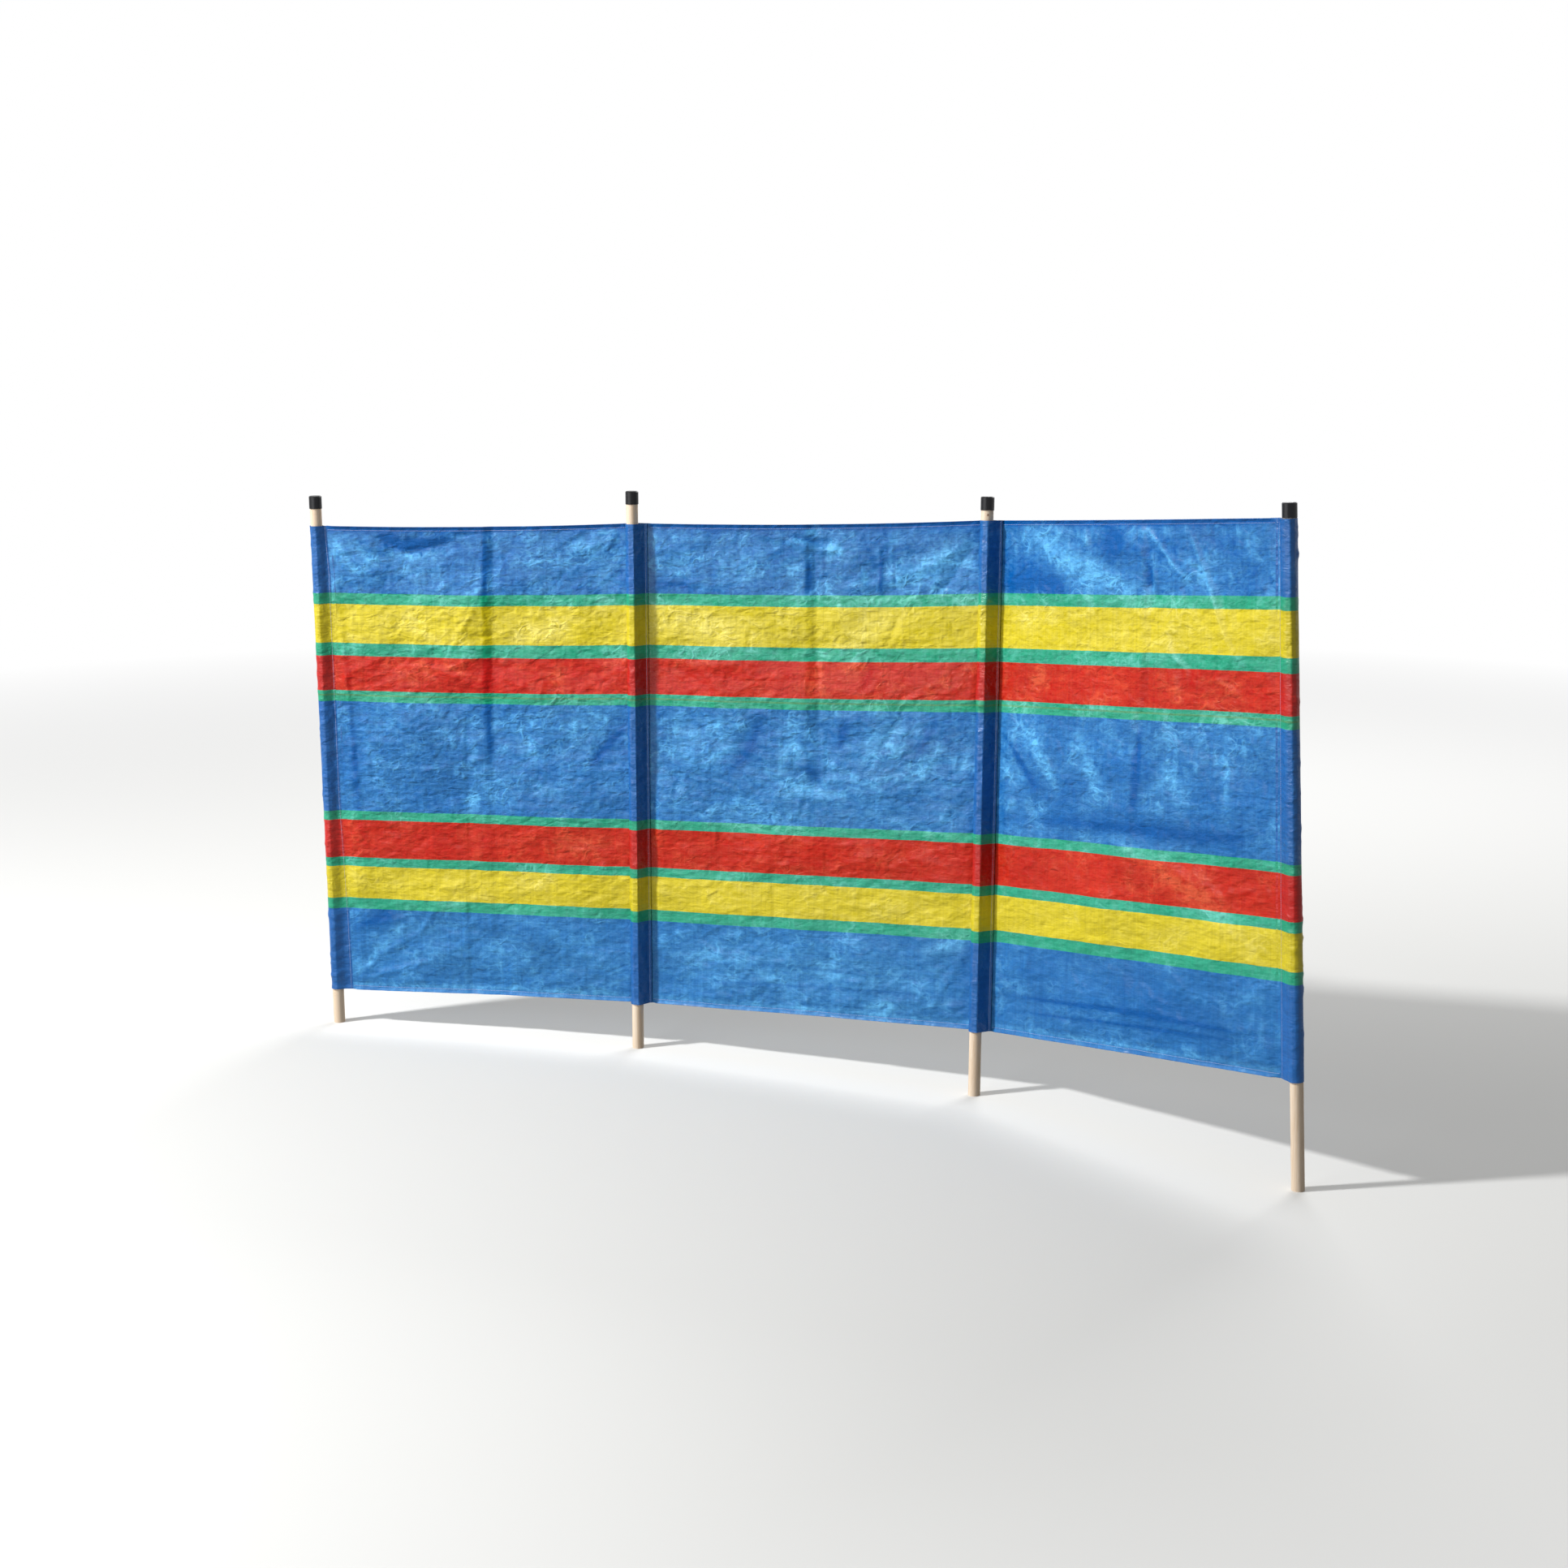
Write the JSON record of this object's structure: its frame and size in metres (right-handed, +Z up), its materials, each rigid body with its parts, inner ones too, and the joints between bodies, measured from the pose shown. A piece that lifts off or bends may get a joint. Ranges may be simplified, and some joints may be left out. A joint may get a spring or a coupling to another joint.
{
  "type": "beach windbreak",
  "caption": "Beach windbreak: a long striped cloth in bays, sewn into sleeves round wooden poles that are planted in the ground, with plastic caps on the poles' tops.",
  "frame": {"origin": "centre of the left end pole's foot, where it meets the ground", "axes": "+X from the left end pole's foot to the right end pole's foot, +Y to the back of the cloth, +Z up"},
  "size_m": [1.9901, 0.2964, 1.1183],
  "materials": {
    "pole_wood": "bare, sanded smooth",
    "cap_plastic": "black, moulded smooth",
    "striped_cloth": "glossy woven cloth with horizontal stripes",
    "hem_cloth": "glossy woven cloth, turned over and stitched"
  },
  "bodies": {
    "root": {"pole_1": "pole_wood", "pole_2": "pole_wood", "pole_3": "pole_wood", "pole_4": "pole_wood", "pole_cap_1": "cap_plastic", "pole_cap_2": "cap_plastic", "pole_cap_3": "cap_plastic", "pole_cap_4": "cap_plastic", "sleeve_1": "striped_cloth", "sleeve_2": "striped_cloth", "sleeve_3": "striped_cloth", "sleeve_4": "striped_cloth", "left_bay_cloth": "striped_cloth", "middle_bay_cloth": "striped_cloth", "right_bay_cloth": "striped_cloth", "left_bay_top_hem": "hem_cloth", "left_bay_bottom_hem": "hem_cloth", "middle_bay_top_hem": "hem_cloth", "middle_bay_bottom_hem": "hem_cloth", "right_bay_top_hem": "hem_cloth", "right_bay_bottom_hem": "hem_cloth"}
  },
  "joints": []
}
